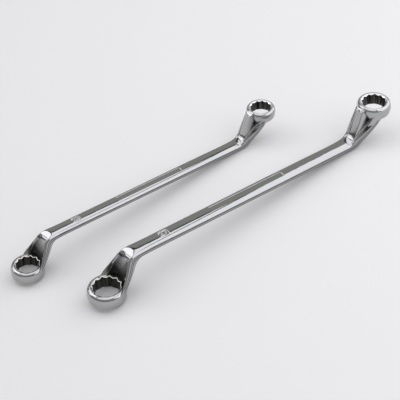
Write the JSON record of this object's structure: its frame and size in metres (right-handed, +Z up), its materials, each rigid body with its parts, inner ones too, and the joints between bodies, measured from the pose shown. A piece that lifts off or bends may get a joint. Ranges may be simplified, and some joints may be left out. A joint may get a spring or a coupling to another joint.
{
  "type": "ring spanner",
  "caption": "Offset ring spanners with a long slim shank, a steep neck and a star-shaped ring opening at each end, polished chrome plate.",
  "frame": {"origin": "on the bench, under the middle of the two spanners' joint bounding box", "axes": "+Z is up from the bench; +X runs along both shanks, from the larger ring of each spanner to its smaller ring; +Y runs from the large spanner to the small one"},
  "size_m": [0.4432, 0.1252, 0.0455],
  "materials": {
    "large_chrome": "polished chrome plate over a steel forging",
    "small_chrome": "polished chrome plate over a steel forging"
  },
  "bodies": {
    "large_spanner": {"large_ring_spanner": "large_chrome"},
    "small_spanner": {"small_ring_spanner": "small_chrome"}
  },
  "joints": [
    {"name": "small_spanner_lift", "type": "slide", "parent": "large_spanner", "child": "small_spanner", "axis": [0, 0, 1], "range_m": [0, 0.06]}
  ]
}
